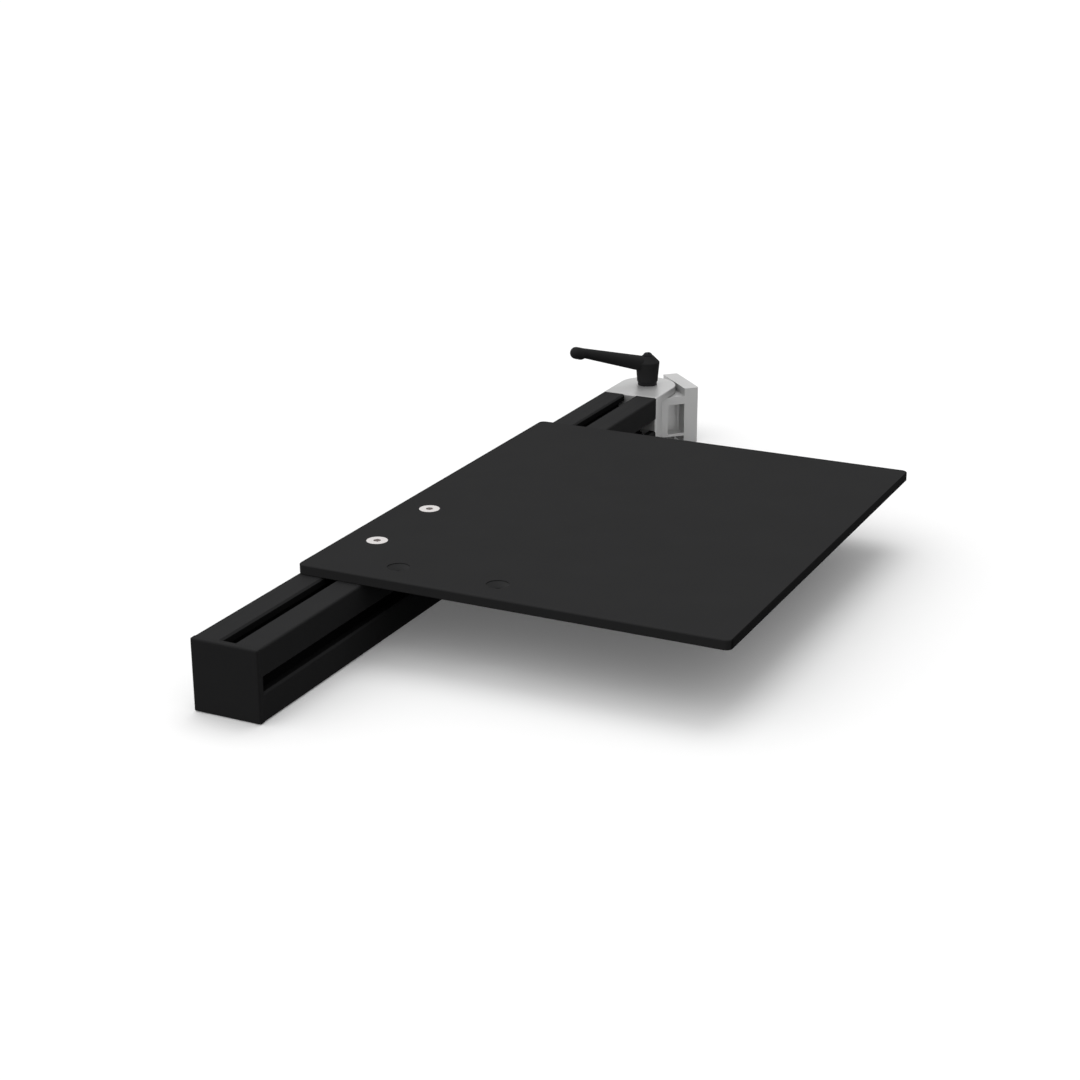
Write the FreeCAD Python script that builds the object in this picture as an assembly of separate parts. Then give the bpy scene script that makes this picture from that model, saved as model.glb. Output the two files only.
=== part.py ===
"""Swing-out mouse plate for a racing simulator rig, in millimetres.

A 40 mm slot profile carries the plate and ends in a lockable pivot joint that bolts to the rig.
The row frame has its origin at the centre of the joint's rig face, on its bolt hole.
At rest +Y runs along the profile from the end cap to the joint, +Z is up.
Pieces are modelled about the pivot axis, with the profile along -Y, and moved into place last.
"""
import FreeCAD, Part
import math
import os

from FreeCAD import Vector

# Clearances that several pieces share
overshoot = 1.0                # how far a cutter runs past the face that it opens
tiny = 1e-6                    # lengths below this count as nothing
wire_sides = 6                 # the hidden springs' wire, kept plain

# Slot profile
beam_side = 40.0
beam_length = 496.0
beam_corner_r = 1.2
slot_opening = 8.2
slot_lip = 4.5
slot_mouth_chamfer = 1.0       # 45 degree break along both lips
slot_inner_width = 20.0
slot_depth = 12.25
slot_web = 4.2
core_bore_r = 3.4
corner_hollow = 6.6
corner_hollow_wall = 2.1
corner_hollow_r = 1.0
core_thread_depth = 22.0

# End cap
cap_thickness = 4.0
cap_corner_r = 0.6             # sharper than the profile's, so the cap's corners stand proud
cap_edge_r = 1.0
cap_peg_length = 10.0
cap_peg_gap = 0.1
cap_core_peg_length = 14.0

# Plate
plate_width = 250.0
plate_length = 300.0
plate_thickness = 5.5
plate_corner_r = 4.0
plate_edge_chamfer = 0.4
plate_setback = 100.0          # from the cap's front face to the plate's near edge
first_hole = 51.5              # from a plate edge to the first hole of a pair
hole_spacing = 60.0
plate_lift = 0.05              # running gap between plate and profile

# Fasteners
m6_r = 3.0
m6_clearance_r = 3.3
m6_head_r = 6.0
m6_hex = 4.0
m6_hex_depth = 2.2
m6_screw_length = 14.0
m8_r = 4.0
m8_clearance_r = 4.5
m8_head_r = 8.0
m8_hex = 5.0
m8_hex_depth = 3.0
countersink_gap = 0.2          # how much wider than the head a countersink is
head_rim = 0.5                 # height of the straight rim on a countersunk head
thread_gap = 0.05              # radial, between a screw and the thread that takes it
hex_corner_lead = 0.3

# T-nut
nut_length = 22.0
nut_width = 15.4
nut_height = 5.2
nut_chamfer = 2.6
nut_neck_height = 3.2
nut_slide_gap = 0.05
nut_neck_gap = 0.15
ball_r = 2.0
ball_hole_r = 2.1
ball_from_end = 4.6
ball_hole_depth = 4.2
nut_spring_wire_r = 0.2
nut_spring_side_gap = 0.1
nut_spring_turns = 2

# Pivot joint
fold_angle = 45.0              # the joint's bend in the rest pose, 0 is straight
knuckle_gap = 0.5              # between a knuckle's rim and the other half's flange
flange_thickness = 10.5
flange_corner_r = 1.2
ear_thickness = 5.0
ear_gap = 0.5                  # between an ear and the tongue
cast_edge_r = 0.8
pocket_start = 8.0             # from the pivot axis towards the rig
pocket_depth = 9.0
pocket_low = 7.5               # from the fork's underside to the pocket's floor
pocket_high = 28.9
pocket_r = 1.5
rig_bolt_seat = 5.0            # length of the rig bolt's clearance hole
fork_screw_length = 30.0
pivot_running_gap = 0.05
washer_r = 16.0
washer_thickness = 0.4
nib_width = 2.4
nib_reach = 6.6
nib_height = 2.6
nib_gap = 0.1

# Clamping lever
lever_heading = 45.0           # at rest the lever points away from the rig face
collar_r = 6.8
collar_height = 2.5
crown_height = 2.5
crown_root_r = 5.0
crown_tip_r = 5.8
crown_teeth = 24
crown_gap = 0.1
pilot_r = 4.6
pilot_height = 5.5
bolt_thread_height = 7.0
handle_gap = 0.2               # between the insert and the handle above it
handle_web = 1.8
handle_lift = 3.0
spring_length = 6.0
spring_wire_r = 0.3
spring_turns = 3.5
spring_seat_gap = 0.02
screw_shank_r = 2.5
screw_hole_gap = 0.25
screw_head_r = 3.4
screw_head_rim = 2.7
screw_head_dome = 2.0
screw_slot_width = 1.0
screw_slot_depth = 1.1
screw_head_gap = 0.3
hub_base_r = 7.3
hub_top_r = 8.5
hub_shoulder = 16.5            # from the ear's top to the widest part of the hub
hub_rim_width = 0.6
hub_round = 1.2
arm_rise = 14.5                # degrees
arm_axis_height = 14.4         # where the arm's centre line meets the hub's axis
arm_root_r = 5.4
arm_root_reach = 6.2
arm_neck_r = 3.35
arm_reach = 59.8
knob_r = 4.25
knob_length = 12.0
knob_drop = 0.8                # below the arm's centre line, so that their tops run flush
knob_neck_r = 1.5              # where the arm runs into the knob

# Values that follow from the ones above
half_side = beam_side / 2
knuckle_r = half_side
flange_inner = knuckle_r + knuckle_gap
face_distance = flange_inner + flange_thickness
tongue_half = half_side - ear_thickness - ear_gap
beam_start = -face_distance - beam_length
cap_front = beam_start - cap_thickness
plate_near = cap_front + plate_setback
plate_left = -half_side
plate_under = half_side + plate_lift
plate_top = plate_under + plate_thickness
lip_inside = half_side - slot_lip
slot_floor = half_side - slot_depth
taper_offset = slot_web / math.sqrt(2)
hollow_centre = half_side - corner_hollow_wall - corner_hollow / 2
collar_top = half_side + collar_height
crown_top = collar_top + crown_height
pilot_top = crown_top + pilot_height
web_under = pilot_top + handle_gap
web_top = web_under + handle_web
head_under = web_top + spring_length


def box(x0, x1, y0, y1, z0, z1):
    """Box between two corners."""
    return Part.makeBox(x1 - x0, y1 - y0, z1 - z0, Vector(x0, y0, z0))


def rod(radius, z0, z1, x=0.0, y=0.0):
    """Upright cylinder."""
    return Part.makeCylinder(radius, z1 - z0, Vector(x, y, z0))


def prism(points, z0, z1):
    """Upright prism over a closed outline of (x, y) points."""
    wire = Part.makePolygon([Vector(x, y, z0) for x, y in points + points[:1]])
    return Part.Face(wire).extrude(Vector(0, 0, z1 - z0))


def turned(points):
    """Solid of revolution about Z from (radius, z) points."""
    wire = Part.makePolygon([Vector(r, 0, z) for r, z in points + points[:1]])
    return Part.Face(wire).revolve(Vector(0, 0, 0), Vector(0, 0, 1), 360)


def hexagon(across_flats, z0, z1):
    """Upright hexagonal prism on the Z axis."""
    corner_r = across_flats / math.sqrt(3)
    corners = [(corner_r * math.cos(k * math.pi / 3), corner_r * math.sin(k * math.pi / 3))
               for k in range(6)]
    return prism(corners, z0, z1)


def upright_edges(solid, y=None):
    """Edges parallel to Z, all of them or those at a given y."""
    found = []
    for edge in solid.Edges:
        reach = edge.BoundBox
        upright = reach.ZLength > tiny and reach.XLength < tiny and reach.YLength < tiny
        if upright and (y is None or abs(reach.YMin - y) < tiny):
            found.append(edge)
    return found


def rounded_box(x0, x1, y0, y1, z0, z1, radius):
    """Box with its upright edges rounded."""
    block = box(x0, x1, y0, y1, z0, z1)
    return block.makeFillet(radius, upright_edges(block))


def countersunk_hole(shank_r, head_r, top, bottom):
    """Cutter along Z: clearance hole with a 90 degree countersink that opens at the top."""
    mouth_r = head_r + countersink_gap
    cone_under = top - head_rim - (mouth_r - shank_r)
    return turned([(0, bottom), (shank_r, bottom), (shank_r, cone_under),
                   (mouth_r, top - head_rim), (mouth_r, top), (0, top)])


def countersunk_screw(shank_r, head_r, length, hex_size, hex_depth):
    """Countersunk socket screw with its head's top at z = 0, pointing down."""
    body = turned([(0, -length), (shank_r - hex_corner_lead, -length),
                   (shank_r, -length + hex_corner_lead),
                   (shank_r, -head_rim - (head_r - shank_r)),
                   (head_r, -head_rim), (head_r, 0), (0, 0)])
    return body.cut(hexagon(hex_size, -hex_depth, overshoot))


def arc_leaving(start, heading, end):
    """Arc edge that leaves start along the heading and ends at end."""
    chord = end - start
    along = Vector(chord).normalize()
    side = (heading - along * heading.dot(along)).normalize()
    bulge = chord.Length / 2 * math.tan(heading.getAngle(chord) / 2)
    return Part.Arc(start, (start + end) * 0.5 + side * bulge, end).toShape()


def joined_arcs(start, start_heading, end, end_heading):
    """Two arcs that meet smoothly and follow a helix's heading at both of its points."""
    gap = end - start
    bend = 2 * (1 - start_heading.dot(end_heading))
    drift = gap.dot(start_heading + end_heading)
    reach = (math.sqrt(drift ** 2 + bend * gap.dot(gap)) - drift) / bend
    meeting = (start + end + (start_heading - end_heading) * reach) * 0.5
    return [arc_leaving(start, start_heading, meeting), arc_leaving(end, end_heading * -1, meeting)]


def coil(wire_r, mean_r, z0, z1, turns):
    """Open coil spring between two heights, as one unbroken tube along half turns."""
    halves = round(2 * turns)
    rise = (z1 - z0 - 2 * wire_r) / halves
    run = mean_r * math.pi
    level = run / math.hypot(rise, run)
    climb = rise / math.hypot(rise, run)
    points = [Vector(mean_r * (-1) ** k, 0, z0 + wire_r + k * rise) for k in range(halves + 1)]
    headings = [Vector(0, level * (-1) ** k, climb) for k in range(halves + 1)]
    edges = []
    for k in range(halves):
        edges += joined_arcs(points[k], headings[k], points[k + 1], headings[k + 1])
    outward = Vector(1, 0, 0)
    upward = outward.cross(headings[0])
    corners = []
    for k in range(wire_sides + 1):
        turn = 2 * math.pi * k / wire_sides
        corners.append(points[0] + outward * (wire_r * math.cos(turn)) + upward * (wire_r * math.sin(turn)))
    section = Part.makePolygon(corners)
    return Part.Wire(Part.__sortEdges__(edges)).makePipeShell([section], True)


def lying_along_y(shape, y):
    """Turn a shape that is built along Z, top up, so that its top faces +Y at the given y."""
    lying = shape.copy()
    lying.rotate(Vector(0, 0, 0), Vector(1, 0, 0), -90)
    lying.translate(Vector(0, y, 0))
    return lying


def slot_outline():
    """One T-slot, open to +Y: broken lips, neck, undercut and the 45 degree taper to its floor."""
    neck = slot_opening / 2
    flare = neck + slot_mouth_chamfer + overshoot
    neck_top = half_side - slot_mouth_chamfer
    inner = slot_inner_width / 2
    floor_half = slot_floor - taper_offset
    taper_top = inner + taper_offset
    mouth = half_side + overshoot
    return [(-flare, mouth), (-neck, neck_top), (-neck, lip_inside), (-inner, lip_inside),
            (-inner, taper_top), (-floor_half, slot_floor), (floor_half, slot_floor),
            (inner, taper_top), (inner, lip_inside), (neck, lip_inside), (neck, neck_top),
            (flare, mouth)]


def corner_hollows(width, radius, z0, z1):
    """The four square hollows of the profile, or the cap pegs that fill them."""
    half = width / 2
    hollows = []
    for x in (-hollow_centre, hollow_centre):
        for y in (-hollow_centre, hollow_centre):
            hollows.append(rounded_box(x - half, x + half, y - half, y + half, z0, z1, radius))
    return hollows


def make_beam_profile():
    """Extrusion with four T-slots, a core bore and four corner hollows, tapped at the far end."""
    section = rounded_box(-half_side, half_side, -half_side, half_side, 0, beam_length, beam_corner_r)
    cutters = corner_hollows(corner_hollow, corner_hollow_r, 0, beam_length)
    cutters.append(rod(core_bore_r, 0, beam_length))
    cutters.append(rod(m8_r + thread_gap, beam_length - core_thread_depth, beam_length))
    for quarter in range(4):
        slot = prism(slot_outline(), 0, beam_length)
        slot.rotate(Vector(0, 0, 0), Vector(0, 0, 1), 90 * quarter)
        cutters.append(slot)
    return lying_along_y(section.cut(cutters), beam_start)


def make_end_cap():
    """Moulded cap with rounded front edges, four corner pegs and a peg for the core bore."""
    block = rounded_box(-half_side, half_side, -half_side, half_side, -cap_thickness, 0, cap_corner_r)
    front = [edge for edge in block.Edges if edge.BoundBox.ZMax < -cap_thickness + tiny]
    cap = block.makeFillet(cap_edge_r, front)
    pegs = corner_hollows(corner_hollow - 2 * cap_peg_gap, corner_hollow_r, 0, cap_peg_length)
    pegs.append(rod(core_bore_r - cap_peg_gap, 0, cap_core_peg_length))
    return lying_along_y(cap.fuse(pegs), beam_start)


def plate_holes():
    """Centres of the plate's four holes: two on the slot, then the spare pair along the near edge."""
    on_slot = [(0.0, plate_near + first_hole + k * hole_spacing) for k in range(2)]
    spare = [(plate_left + first_hole + k * hole_spacing, plate_near + half_side) for k in range(2)]
    return on_slot, spare


def make_mouse_plate():
    """Flat plate with broken edges and two pairs of countersunk holes, one for each way round."""
    plate = rounded_box(plate_left, plate_left + plate_width, plate_near, plate_near + plate_length,
                        plate_under, plate_top, plate_corner_r)
    rims = [edge for edge in plate.Edges if edge.BoundBox.ZLength < tiny]
    plate = plate.makeChamfer(plate_edge_chamfer, rims)
    on_slot, spare = plate_holes()
    cutters = []
    for x, y in on_slot + spare:
        hole = countersunk_hole(m6_clearance_r, m6_head_r, plate_top, plate_under)
        cutters.append(hole.translated(Vector(x, y, 0)))
    return plate.cut(cutters)


def make_plate_screw(centre):
    """Countersunk screw that sits flush in the plate."""
    screw = countersunk_screw(m6_r, m6_head_r, m6_screw_length, m6_hex, m6_hex_depth)
    return screw.translated(Vector(centre[0], centre[1], plate_top))


def nut_top():
    """Height of the T-nut's shoulders, just under the slot's lips."""
    return lip_inside - nut_slide_gap


def ball_centre_z():
    """Height of the sprung ball's centre, resting on the slot's floor."""
    return slot_floor + nut_slide_gap + ball_r


def make_t_nut(centre):
    """T-nut: shoulders under the lips, a neck in the opening, a tapped hole and a ball pocket."""
    half = nut_width / 2
    neck = slot_opening / 2 - nut_neck_gap
    top = nut_top()
    under = top - nut_height
    outline = [(-half, top), (-half, under + nut_chamfer), (-half + nut_chamfer, under),
               (half - nut_chamfer, under), (half, under + nut_chamfer), (half, top),
               (neck, top), (neck, top + nut_neck_height), (-neck, top + nut_neck_height),
               (-neck, top)]
    wire = Part.makePolygon([Vector(x, -nut_length / 2, z) for x, z in outline + outline[:1]])
    nut = Part.Face(wire).extrude(Vector(0, nut_length, 0))
    tapped = rod(m6_r + thread_gap, under, top + nut_neck_height)
    pocket = rod(ball_hole_r, under, under + ball_hole_depth, 0, nut_length / 2 - ball_from_end)
    return nut.cut([tapped, pocket]).translated(Vector(centre[0], centre[1], 0))


def make_t_nut_ball(centre):
    """Steel ball that the nut's spring presses on the slot's floor."""
    y = centre[1] + nut_length / 2 - ball_from_end
    return Part.makeSphere(ball_r, Vector(centre[0], y, ball_centre_z()))


def make_t_nut_spring(centre):
    """Small coil between the ball and the top of its pocket."""
    top = nut_top() - nut_height + ball_hole_depth
    mean_r = ball_hole_r - nut_spring_side_gap - nut_spring_wire_r
    seat = math.sqrt((ball_r + nut_spring_wire_r) ** 2 - mean_r ** 2) - nut_spring_wire_r
    spring = coil(nut_spring_wire_r, mean_r, ball_centre_z() + seat, top, nut_spring_turns)
    y = centre[1] + nut_length / 2 - ball_from_end
    return spring.translated(Vector(centre[0], y, 0))


def knuckle(z0, z1):
    """D-shaped plate about the pivot: a half disc, with straight sides back to -Y."""
    return rod(knuckle_r, z0, z1).fuse(box(-half_side, half_side, -flange_inner, 0, z0, z1))


def flange():
    """Square end plate of a joint half, at -Y, with its mating face's upright edges rounded."""
    plate = box(-half_side, half_side, -face_distance, -flange_inner, -half_side, half_side)
    return plate.makeFillet(flange_corner_r, upright_edges(plate, y=-face_distance))


def make_hinge_fork():
    """Arm half of the joint: flange, two ears, a screw seat and the pivot bolt's seat and nib slot."""
    fork = flange().fuse([knuckle(half_side - ear_thickness, half_side),
                          knuckle(-half_side, -half_side + ear_thickness)]).removeSplitter()
    rims = [edge for edge in fork.Edges
            if edge.BoundBox.ZLength < tiny and abs(abs(edge.BoundBox.ZMin) - half_side) < tiny
            and edge.BoundBox.YMin > -face_distance + tiny]
    fork = fork.makeFillet(cast_edge_r, rims)
    seat = countersunk_hole(m8_clearance_r, m8_head_r, 0, -flange_thickness)
    pivot_seat = countersunk_hole(m8_r + 2 * thread_gap, m8_head_r, 0, -ear_thickness)
    pivot_seat.rotate(Vector(0, 0, 0), Vector(1, 0, 0), 180)
    nib_slot = box(0, nib_reach + nib_gap, -nib_width / 2 - nib_gap, nib_width / 2 + nib_gap,
                   -half_side, -half_side + nib_height + nib_gap)
    return fork.cut([lying_along_y(seat, -flange_inner),
                     pivot_seat.translated(Vector(0, 0, -half_side)),
                     rod(m8_r + 2 * thread_gap, 0, half_side), nib_slot])


def make_fork_screw():
    """Countersunk screw through the fork's flange into the profile's tapped core."""
    screw = countersunk_screw(m8_r, m8_head_r, fork_screw_length, m8_hex, m8_hex_depth)
    return lying_along_y(screw, -flange_inner)


def make_hinge_tongue():
    """Rig half of the joint: flange, cast knuckle with side pockets, access bore to the rig bolt."""
    tongue = flange().fuse(knuckle(-tongue_half, tongue_half)).removeSplitter()
    low = -half_side + pocket_low
    high = -half_side + pocket_high
    floor = half_side - pocket_depth
    cutters = [rod(m8_r, -tongue_half, tongue_half)]
    for side in (-1, 1):
        x0, x1 = sorted((side * floor, side * (half_side + overshoot)))
        cutters.append(rounded_box(x0, x1, -flange_inner, -pocket_start, low, high, pocket_r))
    access_r = m8_head_r + countersink_gap
    far_side = face_distance + knuckle_r + overshoot
    access = turned([(0, 0), (m8_clearance_r, 0), (m8_clearance_r, rig_bolt_seat),
                     (access_r, rig_bolt_seat + access_r - m8_clearance_r),
                     (access_r, far_side), (0, far_side)])
    cutters.append(lying_along_y(access, -face_distance))
    return half_turn(tongue.cut(cutters))


def make_pivot_bolt():
    """Nib bolt: flush countersunk head in the lower ear, kept from turning by its nib."""
    top = collar_top - collar_height + bolt_thread_height - thread_gap
    shank = m8_r - pivot_running_gap
    cone_top = -half_side + head_rim + m8_head_r - shank
    bolt = turned([(0, -half_side), (m8_head_r, -half_side), (m8_head_r, -half_side + head_rim),
                   (shank, cone_top), (shank, top - hex_corner_lead), (shank - hex_corner_lead, top),
                   (0, top)])
    nib = box(0, nib_reach, -nib_width / 2, nib_width / 2, -half_side + head_rim, -half_side + nib_height)
    return bolt.fuse(nib).removeSplitter()


def make_thrust_washer(side):
    """Flat ring on the tongue, under one ear; side is 1 for the upper and -1 for the lower."""
    z0, z1 = sorted((side * tongue_half, side * (tongue_half + washer_thickness)))
    return rod(washer_r, z0, z1).cut(rod(m8_clearance_r, z0, z1))


def serration(grow, z0, z1):
    """Toothed prism of the lever's crown, grown all round for the socket that slides over it."""
    step = math.pi / crown_teeth
    points = []
    for k in range(2 * crown_teeth):
        radius = (crown_tip_r if k % 2 else crown_root_r) + grow
        points.append((radius * math.cos(k * step), radius * math.sin(k * step)))
    return prism(points, z0, z1)


def make_lever_insert():
    """Steel insert: collar on the ear, serrated crown, smooth pilot, threads from both ends."""
    crown = serration(0, collar_top, crown_top)
    body = rod(collar_r, half_side, collar_top).fuse([crown, rod(pilot_r, crown_top, pilot_top)])
    bolt_bore = rod(m8_r, half_side, half_side + bolt_thread_height)
    screw_bore = rod(screw_shank_r + thread_gap, half_side, pilot_top)
    return body.cut([bolt_bore, screw_bore])


def make_lever_retaining_screw():
    """Domed screw on top of the hub that the handle's spring pushes against."""
    shank_end = half_side + bolt_thread_height + thread_gap
    head_top = head_under + screw_head_rim + screw_head_dome
    rim_top = head_under + screw_head_rim
    dome_mid_r = screw_head_r * math.cos(math.pi / 4)
    dome_mid_z = rim_top + screw_head_dome * math.sin(math.pi / 4)
    edges = Part.makePolygon([Vector(0, 0, head_top), Vector(0, 0, shank_end),
                              Vector(screw_shank_r, 0, shank_end), Vector(screw_shank_r, 0, head_under),
                              Vector(screw_head_r, 0, head_under), Vector(screw_head_r, 0, rim_top)]).Edges
    dome = Part.Arc(Vector(screw_head_r, 0, rim_top), Vector(dome_mid_r, 0, dome_mid_z),
                    Vector(0, 0, head_top)).toShape()
    outline = Part.Wire(edges + [dome])
    screw = Part.Face(outline).revolve(Vector(0, 0, 0), Vector(0, 0, 1), 360)
    slot = box(-screw_head_r, screw_head_r, -screw_slot_width / 2, screw_slot_width / 2,
               head_top - screw_slot_depth, head_top + overshoot)
    return screw.cut(slot)


def make_lever_spring():
    """Coil between the handle's inner web and the retaining screw's head."""
    cavity_r = screw_head_r + screw_head_gap
    mean_r = (cavity_r + screw_shank_r) / 2
    return coil(spring_wire_r, mean_r, web_top + spring_seat_gap, head_under - spring_seat_gap,
                spring_turns)


def knob(back, front):
    """Round-ended knob along X between two centres, hung below the arm's centre line."""
    mid = knob_r * math.cos(math.pi / 4)
    rear = Part.Arc(Vector(back - knob_r, 0, 0), Vector(back - mid, 0, mid), Vector(back, 0, knob_r))
    tip = Part.Arc(Vector(front, 0, knob_r), Vector(front + mid, 0, mid), Vector(front + knob_r, 0, 0))
    side = Part.makeLine(rear.EndPoint, tip.StartPoint)
    axis = Part.makeLine(tip.EndPoint, rear.StartPoint)
    outline = Part.Wire([rear.toShape(), side, tip.toShape(), axis])
    grip = Part.Face(outline).revolve(Vector(0, 0, 0), Vector(1, 0, 0), 360)
    return grip.translated(Vector(0, 0, -knob_drop))


def lever_arm():
    """Tapered round arm and its knob, built along the arm's own axis from the hub outwards."""
    front = arm_reach - knob_r
    back = arm_reach - knob_length + knob_r
    outline = [(0, 0), (0, arm_root_r), (arm_root_reach, arm_root_r), (back, arm_neck_r), (back, 0)]
    wire = Part.makePolygon([Vector(x, 0, r) for x, r in outline + outline[:1]])
    arm = Part.Face(wire).revolve(Vector(0, 0, 0), Vector(1, 0, 0), 360)
    arm = arm.fuse(knob(back, front))
    neck = [edge for edge in arm.Edges if edge.BoundBox.XMin > back - knob_r
            and edge.BoundBox.XMax < back - tiny and edge.BoundBox.YLength > knob_r]
    arm = arm.makeFillet(knob_neck_r, neck)
    arm.rotate(Vector(0, 0, 0), Vector(0, 1, 0), -arm_rise)
    arm.rotate(Vector(0, 0, 0), Vector(0, 0, 1), -90)
    return arm.translated(Vector(0, 0, half_side + arm_axis_height))


def make_lever_handle():
    """Cast handle: tapered hub with a coned top, the arm, a toothed socket and the spring's cavity."""
    base = collar_top + handle_gap
    shoulder = half_side + hub_shoulder
    cavity_r = screw_head_r + screw_head_gap
    rim_r = cavity_r + hub_rim_width
    rim_top = shoulder + hub_top_r - rim_r
    hub = turned([(0, base), (hub_base_r, base), (hub_top_r, shoulder), (rim_r, rim_top), (0, rim_top)])
    shoulder_edge = [edge for edge in hub.Edges if abs(edge.BoundBox.ZMin - shoulder) < tiny
                     and edge.BoundBox.ZLength < tiny]
    hub = hub.makeFillet(hub_round, shoulder_edge)
    handle = hub.fuse(lever_arm())
    socket = serration(crown_gap, base, crown_top + crown_gap)
    pilot_bore = rod(pilot_r + crown_gap, base, web_under)
    screw_hole = rod(screw_shank_r + screw_hole_gap, base, rim_top)
    cavity = rod(cavity_r, web_top, half_side + arm_axis_height + 2 * arm_root_r)
    return handle.cut([socket, pilot_bore, screw_hole, cavity])


def half_turn(shape):
    """Face a joint half the other way, with its flange towards the rig."""
    turned_shape = shape.copy()
    turned_shape.rotate(Vector(0, 0, 0), Vector(0, 0, 1), 180)
    return turned_shape


def swung(shape, angle):
    """Turn a piece about the pivot axis, clockwise from above."""
    swung_shape = shape.copy()
    swung_shape.rotate(Vector(0, 0, 0), Vector(0, 0, 1), -angle)
    return swung_shape


def pivot_place():
    """The pivot axis in the row frame, whose origin is the centre of the rig face."""
    bend = math.radians(fold_angle)
    return Vector(-face_distance * math.sin(bend), -face_distance * math.cos(bend), 0)


def all_pieces():
    """Every node by name, still about the pivot axis."""
    near, far = plate_holes()[0]
    pieces = {
        "beam_profile": make_beam_profile(),
        "end_cap": make_end_cap(),
        "hinge_fork": make_hinge_fork(),
        "fork_screw": make_fork_screw(),
        "pivot_bolt": make_pivot_bolt(),
        "mouse_plate": make_mouse_plate(),
    }
    for place, centre in (("near", near), ("far", far)):
        pieces["plate_screw_" + place] = make_plate_screw(centre)
        pieces["t_nut_" + place] = make_t_nut(centre)
        pieces["t_nut_ball_" + place] = make_t_nut_ball(centre)
        pieces["t_nut_spring_" + place] = make_t_nut_spring(centre)
    pieces["hinge_tongue"] = swung(make_hinge_tongue(), fold_angle)
    pieces["thrust_washer_upper"] = make_thrust_washer(1)
    pieces["thrust_washer_lower"] = make_thrust_washer(-1)
    for name, piece in (("lever_insert", make_lever_insert()),
                        ("lever_retaining_screw", make_lever_retaining_screw()),
                        ("lever_spring", make_lever_spring()),
                        ("lever_handle", make_lever_handle())):
        pieces[name] = swung(piece, lever_heading)
    return pieces


os.makedirs("parts", exist_ok=True)
for name, piece in all_pieces().items():
    placed = piece.translated(pivot_place())
    solids = placed.Solids
    print(name, "solids", len(solids), "volume %.1f" % placed.Volume, "valid", placed.isValid())
    shape = solids[0] if len(solids) == 1 else placed
    shape.exportStep("parts/" + name + ".step")
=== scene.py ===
"""Swing-out mouse plate for a racing simulator rig: the finish of every piece, and the studio round it."""

import math

import bmesh
import bpy
from mathutils import Matrix, Vector


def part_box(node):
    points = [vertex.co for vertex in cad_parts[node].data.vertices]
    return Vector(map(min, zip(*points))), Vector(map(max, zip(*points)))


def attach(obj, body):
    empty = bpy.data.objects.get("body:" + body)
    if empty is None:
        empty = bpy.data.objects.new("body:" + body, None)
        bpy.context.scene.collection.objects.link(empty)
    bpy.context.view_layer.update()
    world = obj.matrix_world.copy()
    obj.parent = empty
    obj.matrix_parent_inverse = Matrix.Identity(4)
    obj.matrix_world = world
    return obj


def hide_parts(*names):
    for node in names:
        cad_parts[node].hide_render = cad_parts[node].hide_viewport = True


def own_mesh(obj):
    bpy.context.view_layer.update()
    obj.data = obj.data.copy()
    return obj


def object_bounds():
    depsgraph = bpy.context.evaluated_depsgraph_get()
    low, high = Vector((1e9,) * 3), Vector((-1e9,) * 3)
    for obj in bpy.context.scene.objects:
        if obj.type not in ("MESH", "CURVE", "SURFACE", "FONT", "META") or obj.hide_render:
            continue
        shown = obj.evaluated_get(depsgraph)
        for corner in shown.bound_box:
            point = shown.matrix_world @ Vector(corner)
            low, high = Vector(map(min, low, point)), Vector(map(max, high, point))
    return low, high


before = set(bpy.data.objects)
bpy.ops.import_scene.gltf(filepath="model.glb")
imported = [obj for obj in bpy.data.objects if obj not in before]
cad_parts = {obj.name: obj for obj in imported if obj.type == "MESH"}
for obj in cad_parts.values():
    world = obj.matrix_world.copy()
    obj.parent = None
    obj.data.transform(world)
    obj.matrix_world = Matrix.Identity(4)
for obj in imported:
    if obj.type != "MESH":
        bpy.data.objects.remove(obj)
cad_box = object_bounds()

# Slot profile. A 40 mm aluminium extrusion with a T-slot on each side, anodised black. The die
# leaves hair-fine lines along its length. The walls deep in the slots get painted shade, darker
# than the outer faces.


def new_finish(name, colour, roughness, metallic=0.0, specular=0.5):
    """A surface of one colour; its own bumps and patches are added by the calls below."""
    finish = bpy.data.materials.new(name)
    finish.use_nodes = True
    shader = finish.node_tree.nodes["Principled BSDF"]
    shader.inputs["Base Color"].default_value = (*colour, 1)
    shader.inputs["Roughness"].default_value = roughness
    shader.inputs["Metallic"].default_value = metallic
    shader.inputs["Specular IOR Level"].default_value = specular
    return finish


def add_node(owner, kind, settings=(), links=(), operation=None):
    """Add one node to a finish or a world, set its sockets and link others into it."""
    node = owner.node_tree.nodes.new(kind)
    if operation:
        node.operation = operation
    for socket, value in dict(settings).items():
        node.inputs[socket].default_value = value
    for socket, source in dict(links).items():
        owner.node_tree.links.new(source, node.inputs[socket])
    return node


def calculate(owner, operation, *terms):
    """The result of one sum; each term is a number or what another node gives."""
    sources = {k: term for k, term in enumerate(terms) if isinstance(term, bpy.types.NodeSocket)}
    numbers = {k: term for k, term in enumerate(terms) if k not in sources}
    return add_node(owner, "ShaderNodeMath", numbers, sources, operation).outputs["Value"]


def ramp(finish, source, start, end, first, last):
    """first below start, last above end, and an even change between the two."""
    span = add_node(finish, "ShaderNodeMapRange",
                    {"From Min": start, "From Max": end, "To Min": first, "To Max": last}, {"Value": source})
    return span.outputs["Result"]


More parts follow.
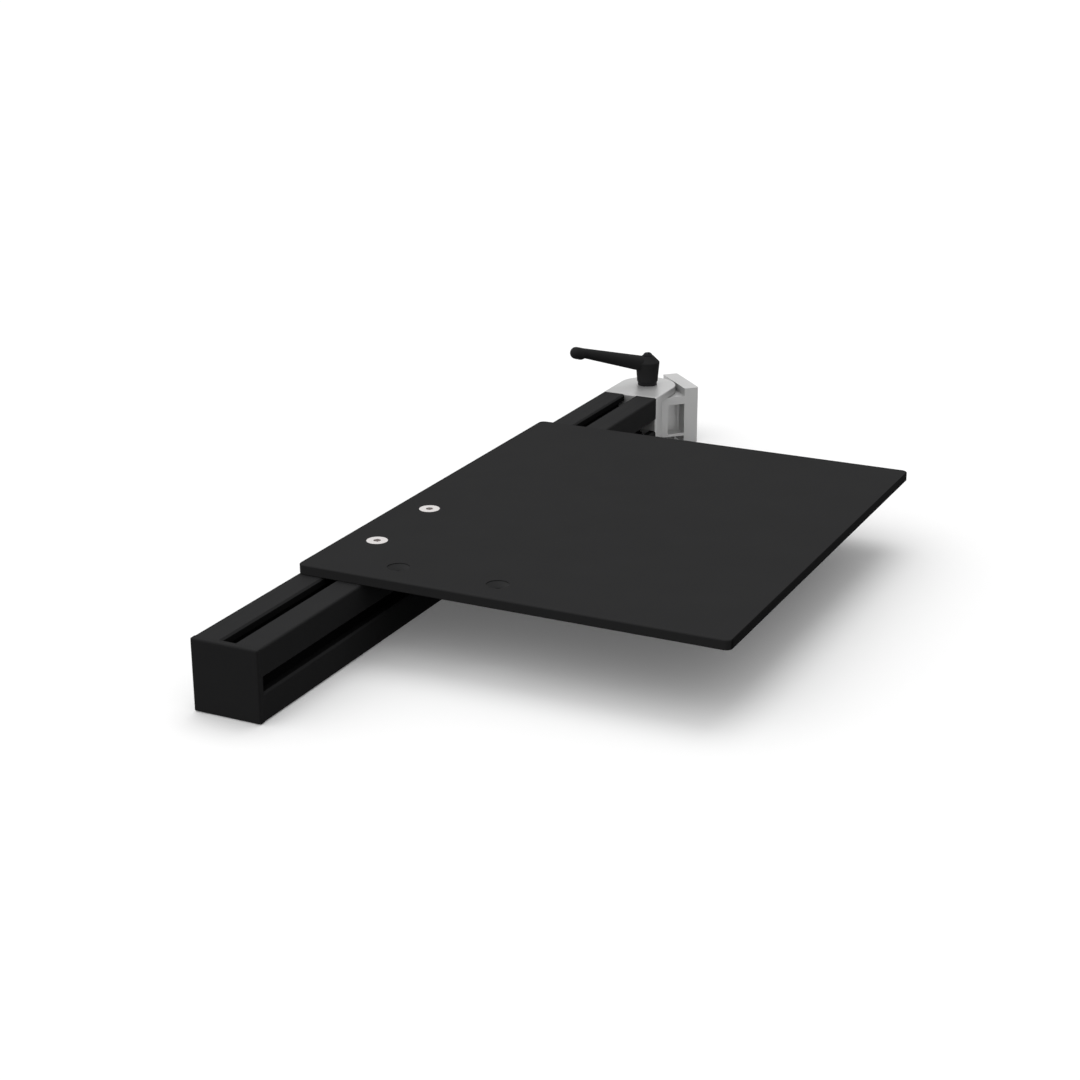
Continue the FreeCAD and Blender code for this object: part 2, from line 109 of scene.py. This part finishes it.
def grain(finish, size, stretch=(1, 1, 1)):
    """Noise in the piece's own metres; size is its grain, stretch draws it out along an axis."""
    octaves = 4.0
    place = add_node(finish, "ShaderNodeTexCoord")
    scale = [1 / (size * s) for s in stretch]
    mapping = add_node(finish, "ShaderNodeMapping", {"Scale": scale}, {"Vector": place.outputs["Object"]})
    noise = add_node(finish, "ShaderNodeTexNoise", {"Scale": 1.0, "Detail": octaves},
                     {"Vector": mapping.outputs["Vector"]})
    return noise.outputs["Fac"]


def vary_roughness(finish, source, low, high):
    """Let a pattern move the finish's roughness between two values."""
    noise_low, noise_high = 0.3, 0.7
    shader = finish.node_tree.nodes["Principled BSDF"]
    finish.node_tree.links.new(ramp(finish, source, noise_low, noise_high, low, high),
                               shader.inputs["Roughness"])


def vary_colour(finish, source, dark, light):
    """Let a pattern move the finish's colour between two shades."""
    shades = add_node(finish, "ShaderNodeMix", (), {"Factor": source})
    shades.data_type = "RGBA"
    shades.inputs["A"].default_value = (*dark, 1)
    shades.inputs["B"].default_value = (*light, 1)
    shader = finish.node_tree.nodes["Principled BSDF"]
    finish.node_tree.links.new(shades.outputs["Result"], shader.inputs["Base Color"])


def tint(finish, factor):
    """Multiply the finish's colour by a factor that changes over the piece."""
    shader = finish.node_tree.nodes["Principled BSDF"]
    shades = shader.inputs["Base Color"].links[0].from_socket
    tinted = add_node(finish, "ShaderNodeVectorMath", (), {0: shades, 1: factor}, "MULTIPLY")
    finish.node_tree.links.new(tinted.outputs["Vector"], shader.inputs["Base Color"])


def raise_grain(finish, source, height):
    """Bumps of a real height in metres, laid over any that the finish has already."""
    shader = finish.node_tree.nodes["Principled BSDF"]
    bump = add_node(finish, "ShaderNodeBump", {"Strength": 1.0, "Distance": height}, {"Height": source})
    below = shader.inputs["Normal"].links
    if below:
        finish.node_tree.links.new(below[0].from_socket, bump.inputs["Normal"])
    finish.node_tree.links.new(bump.outputs["Normal"], shader.inputs["Normal"])


def off_middle(finish, corners, axis):
    """How far a point of the piece lies from the middle of its box along an axis, and half the box."""
    place = add_node(finish, "ShaderNodeTexCoord")
    apart = add_node(finish, "ShaderNodeSeparateXYZ", (), {"Vector": place.outputs["Object"]})
    middle = (corners[0][axis] + corners[1][axis]) / 2
    offset = calculate(finish, "SUBTRACT", apart.outputs["XYZ"[axis]], middle)
    return calculate(finish, "ABSOLUTE", offset), (corners[1][axis] - corners[0][axis]) / 2


def painted_shade_in_slots(finish, corners, depth, share):
    """Paint shade onto the walls that lie deeper than depth under the profile's four sides."""
    fade = 0.0003
    across, _ = off_middle(finish, corners, 0)
    upward, side = off_middle(finish, corners, 2)
    furthest = calculate(finish, "MAXIMUM", across, upward)
    tint(finish, ramp(finish, furthest, side - depth - fade, side - depth, share, 1.0))


def wear(finish, *nodes):
    """Give a finish to nodes that keep their shape."""
    for node in nodes:
        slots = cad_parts[node].data.materials
        slots.clear()
        slots.append(finish)


profile_black = new_finish("profile_black_anodising", (0.027, 0.027, 0.0275), roughness=0.5, specular=0.003)
vary_colour(profile_black, grain(profile_black, size=0.02),
            dark=(0.0253, 0.0253, 0.0258), light=(0.0287, 0.0287, 0.0292))
die_lines = grain(profile_black, size=0.0006, stretch=(1, 400, 1))
# painted shade: the walls deep inside the slots are darkened to stand in for the shade there
painted_shade_in_slots(profile_black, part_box("beam_profile"), depth=0.001, share=0.35)
vary_roughness(profile_black, die_lines, low=0.46, high=0.6)
raise_grain(profile_black, die_lines, height=0.00001)
wear(profile_black, "beam_profile")

# End cap. A black polyamide moulding with a fine spark-eroded texture, pressed into the
# profile's hollows by its pegs.
cap_black = new_finish("cap_black_polyamide", (0.0215, 0.0215, 0.022), roughness=0.6, specular=0.015)
vary_colour(cap_black, grain(cap_black, size=0.01),
            dark=(0.0203, 0.0203, 0.0208), light=(0.0227, 0.0227, 0.0232))
spark_texture = grain(cap_black, size=0.0004)
vary_roughness(cap_black, spark_texture, low=0.55, high=0.7)
raise_grain(cap_black, spark_texture, height=0.00002)
wear(cap_black, "end_cap")

# Joint halves. Die-cast aluminium, tumbled and blasted to a matt silver, with the faint
# orange-peel skin of a casting. One is screwed to the profile's end, the other bolts to the rig.
cast_silver = new_finish("cast_silver", (0.5, 0.5, 0.5), roughness=0.38, metallic=0.4, specular=0.5)
vary_colour(cast_silver, grain(cast_silver, size=0.008),
            dark=(0.485, 0.485, 0.485), light=(0.52, 0.52, 0.515))
blasting = grain(cast_silver, size=0.00035)
vary_roughness(cast_silver, blasting, low=0.32, high=0.44)
raise_grain(cast_silver, grain(cast_silver, size=0.003), height=0.00003)
raise_grain(cast_silver, blasting, height=0.00001)
wear(cast_silver, "hinge_fork", "hinge_tongue")

# Joint screws, washers, T-nuts and their springs. Turned, pressed or wound steel with bright zinc
# plating. The screws' threads are rolled, and the springs' end turns are closed flat.


def new_piece(name, points, faces, finish, body):
    """A piece of the object's own, from points in metres; its sharper edges stay crisp."""
    smooth_below = math.radians(35)
    mesh = bpy.data.meshes.new(name)
    mesh.from_pydata(points, [], faces)
    mesh.shade_smooth()
    mesh.set_sharp_from_angle(angle=smooth_below)
    mesh.materials.append(finish)
    piece = bpy.data.objects.new(name, mesh)
    bpy.context.scene.collection.objects.link(piece)
    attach(piece, body)
    return piece


def rings_to_skin(rings, sides):
    """Faces round a stack of rings, closed at both ends."""
    faces = []
    for ring in range(rings - 1):
        low, high = ring * sides, (ring + 1) * sides
        for k in range(sides):
            turn = (k + 1) % sides
            faces.append((low + k, low + turn, high + turn, high + k))
    faces.append(tuple(reversed(range(sides))))
    faces.append(tuple((rings - 1) * sides + k for k in range(sides)))
    return faces


def rolled_thread(radius, pitch, start, end):
    """Points and faces of a right-hand thread about Z, with flat crests and a pointed first turn."""
    sides, rings_per_turn = 36, 8
    depth_in_pitches, flank_slope, crest_flat = 0.6, 1.25, 0.12
    depth = depth_in_pitches * pitch
    rings = math.ceil((end - start) / pitch * rings_per_turn) + 1
    points = []
    for ring in range(rings):
        z = start + (end - start) * ring / (rings - 1)
        tip = max(0.0, 1 - (z - start) / pitch)
        for k in range(sides):
            phase = (z / pitch - k / sides) % 1.0
            groove = min(1.0, max(0.0, flank_slope * abs(2 * phase - 1) - crest_flat))
            r = radius - depth * max(groove, tip)
            angle = 2 * math.pi * k / sides
            points.append((r * math.cos(angle), r * math.sin(angle), z))
    return points, rings_to_skin(rings, sides)


def thread_screw(node, finish, body, radius, pitch, plain, lean=0):
    """Stand in for a plain screw with one that is threaded from its tip up to plain, the length
    that keeps its shape under the head; lean turns it about X from standing head up."""
    weld, overlap = 0.000001, 0.0001
    low, high = (Vector(corner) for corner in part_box(node))
    middle = (low + high) / 2
    upright = Matrix.Rotation(math.radians(lean), 4, "X")
    place = Matrix.Translation(middle) @ upright
    half_length = abs((upright.inverted() @ (high - middle)).z)
    head = half_length - plain
    shape = bmesh.new()
    shape.from_mesh(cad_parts[node].data)
    bmesh.ops.remove_doubles(shape, verts=shape.verts, dist=weld)
    shape.transform(place.inverted())
    cut = bmesh.ops.bisect_plane(shape, geom=shape.verts[:] + shape.edges[:] + shape.faces[:],
                                 plane_co=(0, 0, head), plane_no=(0, 0, -1), clear_outer=True)
    rim = [edge for edge in cut["geom_cut"] if isinstance(edge, bmesh.types.BMEdge)]
    bmesh.ops.contextual_create(shape, geom=rim)
    shape.verts.index_update()
    points = [tuple(vert.co) for vert in shape.verts]
    faces = [tuple(vert.index for vert in face.verts) for face in shape.faces]
    shape.free()
    thread_points, thread_faces = rolled_thread(radius, pitch, -half_length, head + overlap)
    first = len(points)
    points += thread_points
    faces += [tuple(first + corner for corner in face) for face in thread_faces]
    points = [tuple(place @ Vector(point)) for point in points]
    piece = new_piece(node + "_threaded", points, faces, finish, body)
    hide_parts(node)


def wind_spring(node, finish, body, wire, turns):
    """Stand in for a faceted spring with round wire wound in its space; wire is its radius."""
    sides, rings_per_turn = 16, 48
    closed_turns = 0.5
    low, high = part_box(node)
    centre = [(low[axis] + high[axis]) / 2 for axis in range(2)]
    coil_r = (high[0] - low[0]) / 2 - wire
    rings = round(turns * rings_per_turn) + 1
    rise = high[2] - low[2] - 2 * wire
    flat = closed_turns / turns
    points = []
    heights = []
    for ring in range(rings):
        share = min(1.0, max(0.0, (ring / (rings - 1) - flat) / (1 - 2 * flat)))
        heights.append(low[2] + wire + rise * (share * share * (3 - 2 * share) + share) / 2)
    for ring in range(rings):
        angle = 2 * math.pi * ring / rings_per_turn
        outward = Vector((math.cos(angle), math.sin(angle), 0))
        before, after = heights[max(0, ring - 1)], heights[min(rings - 1, ring + 1)]
        climb = (after - before) * rings_per_turn / (4 * math.pi * coil_r)
        along = Vector((-math.sin(angle), math.cos(angle), climb))
        across = outward.cross(along.normalized())
        centre_line = Vector((centre[0], centre[1], heights[ring])) + outward * coil_r
        for k in range(sides):
            turn = 2 * math.pi * k / sides
            points.append(tuple(centre_line + (outward * math.cos(turn) - across * math.sin(turn)) * wire))
    spring = new_piece(node + "_wound", points, rings_to_skin(rings, sides), finish, body)
    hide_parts(node)
    return spring


zinc_steel = new_finish("zinc_plated_steel", (0.62, 0.62, 0.61), roughness=0.35, metallic=1.0)
zinc_cloud = grain(zinc_steel, size=0.002)
vary_colour(zinc_steel, zinc_cloud, dark=(0.58, 0.58, 0.57), light=(0.66, 0.66, 0.65))
vary_roughness(zinc_steel, zinc_cloud, low=0.3, high=0.45)
wear(zinc_steel, "thrust_washer_upper", "thrust_washer_lower", "t_nut_near", "t_nut_far",
     "t_nut_ball_near", "t_nut_ball_far")
m8_pitch = 0.00125
thread_screw("fork_screw", zinc_steel, "arm",
             radius=0.004, pitch=m8_pitch, plain=0.0046, lean=-90)
thread_screw("pivot_bolt", zinc_steel, "arm",
             radius=0.00395, pitch=m8_pitch, plain=0.0395, lean=180)
for end in ("near", "far"):
    wind_spring("t_nut_spring_" + end, zinc_steel, "plate_carriage", wire=0.0002, turns=2)

# Lever insert, its screw and the handle's spring. Steel, blackened with oxide. The zinc-plated
# spring stands under the screw's head and pushes the handle's teeth down onto the insert's crown.
black_steel = new_finish("black_oxide_steel", (0.02, 0.02, 0.021), roughness=0.5, metallic=0.3,
                         specular=0.05)
oxide_cloud = grain(black_steel, size=0.0015)
vary_roughness(black_steel, oxide_cloud, low=0.42, high=0.58)
vary_colour(black_steel, oxide_cloud, dark=(0.017, 0.017, 0.018), light=(0.025, 0.025, 0.026))
wear(black_steel, "lever_insert")
thread_screw("lever_retaining_screw", black_steel, "lever_core",
             radius=0.0025, pitch=0.0008, plain=0.0115)
handle_spring = wind_spring("lever_spring", zinc_steel, "lever_core", wire=0.0003, turns=3.5)
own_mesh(handle_spring)

# Lever handle. A zinc casting under black powder coat, which pools into a fine pebbled skin. It
# slides over the insert and is held on it by the screw above.
lever_coat = new_finish("lever_black_powder_coat", (0.026, 0.026, 0.0265), roughness=0.5, specular=0.006)
vary_colour(lever_coat, grain(lever_coat, size=0.005),
            dark=(0.0243, 0.0243, 0.0248), light=(0.0277, 0.0277, 0.0282))
pebbles = grain(lever_coat, size=0.0007)
vary_roughness(lever_coat, pebbles, low=0.4, high=0.55)
raise_grain(lever_coat, pebbles, height=0.00003)
wear(lever_coat, "lever_handle")

# Plate. Sawn from an aluminium strip 5.5 mm thick, anodised a satin black and screwed down along
# the profile. Its two long edges get painted shade, darker than the face, and the walls of the
# countersinks that face up get painted light, a little lighter.


def painted_shade_on_long_edges(finish, corners, edge_break, share):
    """Paint shade onto the plate's two long edges and their broken corners."""
    fade = 0.0001
    sideways, half = off_middle(finish, corners, 0)
    tint(finish, ramp(finish, sideways, half - edge_break - fade, half - edge_break, 1.0, share))


def painted_light_in_countersinks(finish, top, edge_break, share):
    """Paint light onto the walls that slope up to the light, lower than the plate's broken edges."""
    least_slope = 0.3
    place = add_node(finish, "ShaderNodeNewGeometry")
    height = add_node(finish, "ShaderNodeSeparateXYZ", (), {"Vector": place.outputs["Position"]})
    facing = add_node(finish, "ShaderNodeSeparateXYZ", (), {"Vector": place.outputs["True Normal"]})
    below = calculate(finish, "LESS_THAN", height.outputs["Z"], top - edge_break)
    sloped = calculate(finish, "GREATER_THAN", facing.outputs["Z"], least_slope)
    both = calculate(finish, "MULTIPLY", below, sloped)
    tint(finish, ramp(finish, both, 0.0, 1.0, 1.0, share))


plate_black = new_finish("plate_black_anodising", (0.0262, 0.0262, 0.0267), roughness=0.55, specular=0.002)
vary_colour(plate_black, grain(plate_black, size=0.03),
            dark=(0.0248, 0.0248, 0.0252), light=(0.0276, 0.0276, 0.028))
satin = grain(plate_black, size=0.0004)
vary_roughness(plate_black, satin, low=0.5, high=0.62)
raise_grain(plate_black, satin, height=0.000006)
# painted light: the countersinks' upward-facing walls are lightened as if lit from above
painted_light_in_countersinks(plate_black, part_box("mouse_plate")[1][2], edge_break=0.00045, share=1.5)
# painted shade: the plate's long side edges are darkened as if less light falls on them
painted_shade_on_long_edges(plate_black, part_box("mouse_plate"), edge_break=0.0004, share=0.42)
wear(plate_black, "mouse_plate")

# Plate screws. Countersunk M6 socket screws in bright zinc, which catch the light in the black
# plate. They go through it into the T-nuts.
bright_screw = new_finish("bright_plated_screw", (0.69, 0.66, 0.65), roughness=0.3, metallic=1.0)
plating = grain(bright_screw, size=0.001)
vary_roughness(bright_screw, plating, low=0.25, high=0.4)
vary_colour(bright_screw, plating, dark=(0.64, 0.61, 0.6), light=(0.74, 0.71, 0.7))
for end in ("near", "far"):
    thread_screw("plate_screw_" + end, bright_screw, "plate_carriage",
                 radius=0.003, pitch=0.001, plain=0.0036)

# Floor. A white sweep that keeps the object's soft shadow, just under the joint and profile. Seen
# straight or in gloss it is white paper. To soft light it is dull, so that little comes back up.
floor_gap = 0.0003
floor_reach = 40.0
shadow_fill = 0.1
soft_return = 0.08
floor_z = cad_box[0][2] - floor_gap
floor_mesh = bpy.data.meshes.new("floor")
floor_mesh.from_pydata([(-floor_reach, -floor_reach, floor_z), (floor_reach, -floor_reach, floor_z),
                        (floor_reach, floor_reach, floor_z), (-floor_reach, floor_reach, floor_z)],
                       [], [(0, 1, 2, 3)])
floor = bpy.data.objects.new("floor", floor_mesh)
bpy.context.scene.collection.objects.link(floor)


def seen_by_eye_or_gloss(owner):
    """1 for the rays that see the white studio, 0 for those that only carry soft light."""
    ray = add_node(owner, "ShaderNodeLightPath")
    seen = ray.outputs["Is Camera Ray"]
    for kind in ("Is Glossy Ray", "Is Transmission Ray"):
        seen = calculate(owner, "MAXIMUM", seen, ray.outputs[kind])
    return seen


floor_white = bpy.data.materials.new("floor_white")
floor_white.use_nodes = True
floor_white.node_tree.nodes.clear()
paper = add_node(floor_white, "ShaderNodeBsdfDiffuse", {"Color": (1 - shadow_fill,) * 3 + (1,)})
glow = add_node(floor_white, "ShaderNodeEmission", {"Strength": shadow_fill})
sheet = add_node(floor_white, "ShaderNodeAddShader", (),
                 {0: paper.outputs["BSDF"], 1: glow.outputs["Emission"]})
dull = add_node(floor_white, "ShaderNodeBsdfDiffuse", {"Color": (soft_return,) * 3 + (1,)})
either_sheet = add_node(floor_white, "ShaderNodeMixShader", (),
                        {"Fac": seen_by_eye_or_gloss(floor_white), 1: dull.outputs["BSDF"],
                         2: sheet.outputs["Shader"]})
add_node(floor_white, "ShaderNodeOutputMaterial", (), {"Surface": either_sheet.outputs["Shader"]})
floor_mesh.materials.append(floor_white)

# Studio light. A white surround that lights the piece most from overhead and from the near left,
# and a wide, soft lamp above. To the eye and in gloss the surround is evenly white.
surround_level = 0.521
brighter_towards = (-0.8, -0.464, 1.0)
lamp_strength = 0.678
lamp_spread = math.radians(37)
lamp_direction = (0.053, -0.372, -1.0)
world = bpy.data.worlds.new("studio")
bpy.context.scene.world = world
world.use_nodes = True
direction = add_node(world, "ShaderNodeTexCoord")
slope = add_node(world, "ShaderNodeVectorMath", {1: [surround_level * share for share in brighter_towards]},
                 {0: direction.outputs["Generated"]}, "DOT_PRODUCT")
soft_light = calculate(world, "ADD", slope.outputs["Value"], surround_level)
not_below_dark = calculate(world, "MAXIMUM", soft_light, 0.0)
level = add_node(world, "ShaderNodeMapRange", {"To Max": 1.0},
                 {"To Min": not_below_dark, "Value": seen_by_eye_or_gloss(world)})
background = world.node_tree.nodes["Background"]
background.inputs["Color"].default_value = (1, 1, 1, 1)
world.node_tree.links.new(level.outputs["Result"], background.inputs["Strength"])
lamp = bpy.data.lights.new("soft_lamp", "SUN")
lamp.energy = lamp_strength
lamp.angle = lamp_spread
soft_lamp = bpy.data.objects.new("soft_lamp", lamp)
soft_lamp.rotation_euler = Vector(lamp_direction).to_track_quat("-Z", "Y").to_euler()
bpy.context.scene.collection.objects.link(soft_lamp)

# Camera, at the photograph's place and angle, as fitted to the straight edges of plate and profile.
# It looks down from the near right, and its lens is a short telephoto.
heading, downward, tilt = 0.4566, 0.3466, -0.0036
camera_data = bpy.data.cameras.new("camera")
camera_data.sensor_width = 36.0
camera_data.lens = 69.26
camera_data.clip_start = 0.05
camera_data.clip_end = 200
camera = bpy.data.objects.new("camera", camera_data)
camera.location = (0.53866, -1.33716, 0.41799)
aim = Matrix.Identity(3)
for angle, axis in ((heading, "Z"), (math.pi / 2 - downward, "X"), (tilt, "Z")):
    aim = aim @ Matrix.Rotation(angle, 3, axis)
camera.rotation_euler = aim.to_euler()
bpy.context.scene.collection.objects.link(camera)
bpy.context.scene.camera = camera
bpy.context.scene.view_settings.view_transform = "Standard"
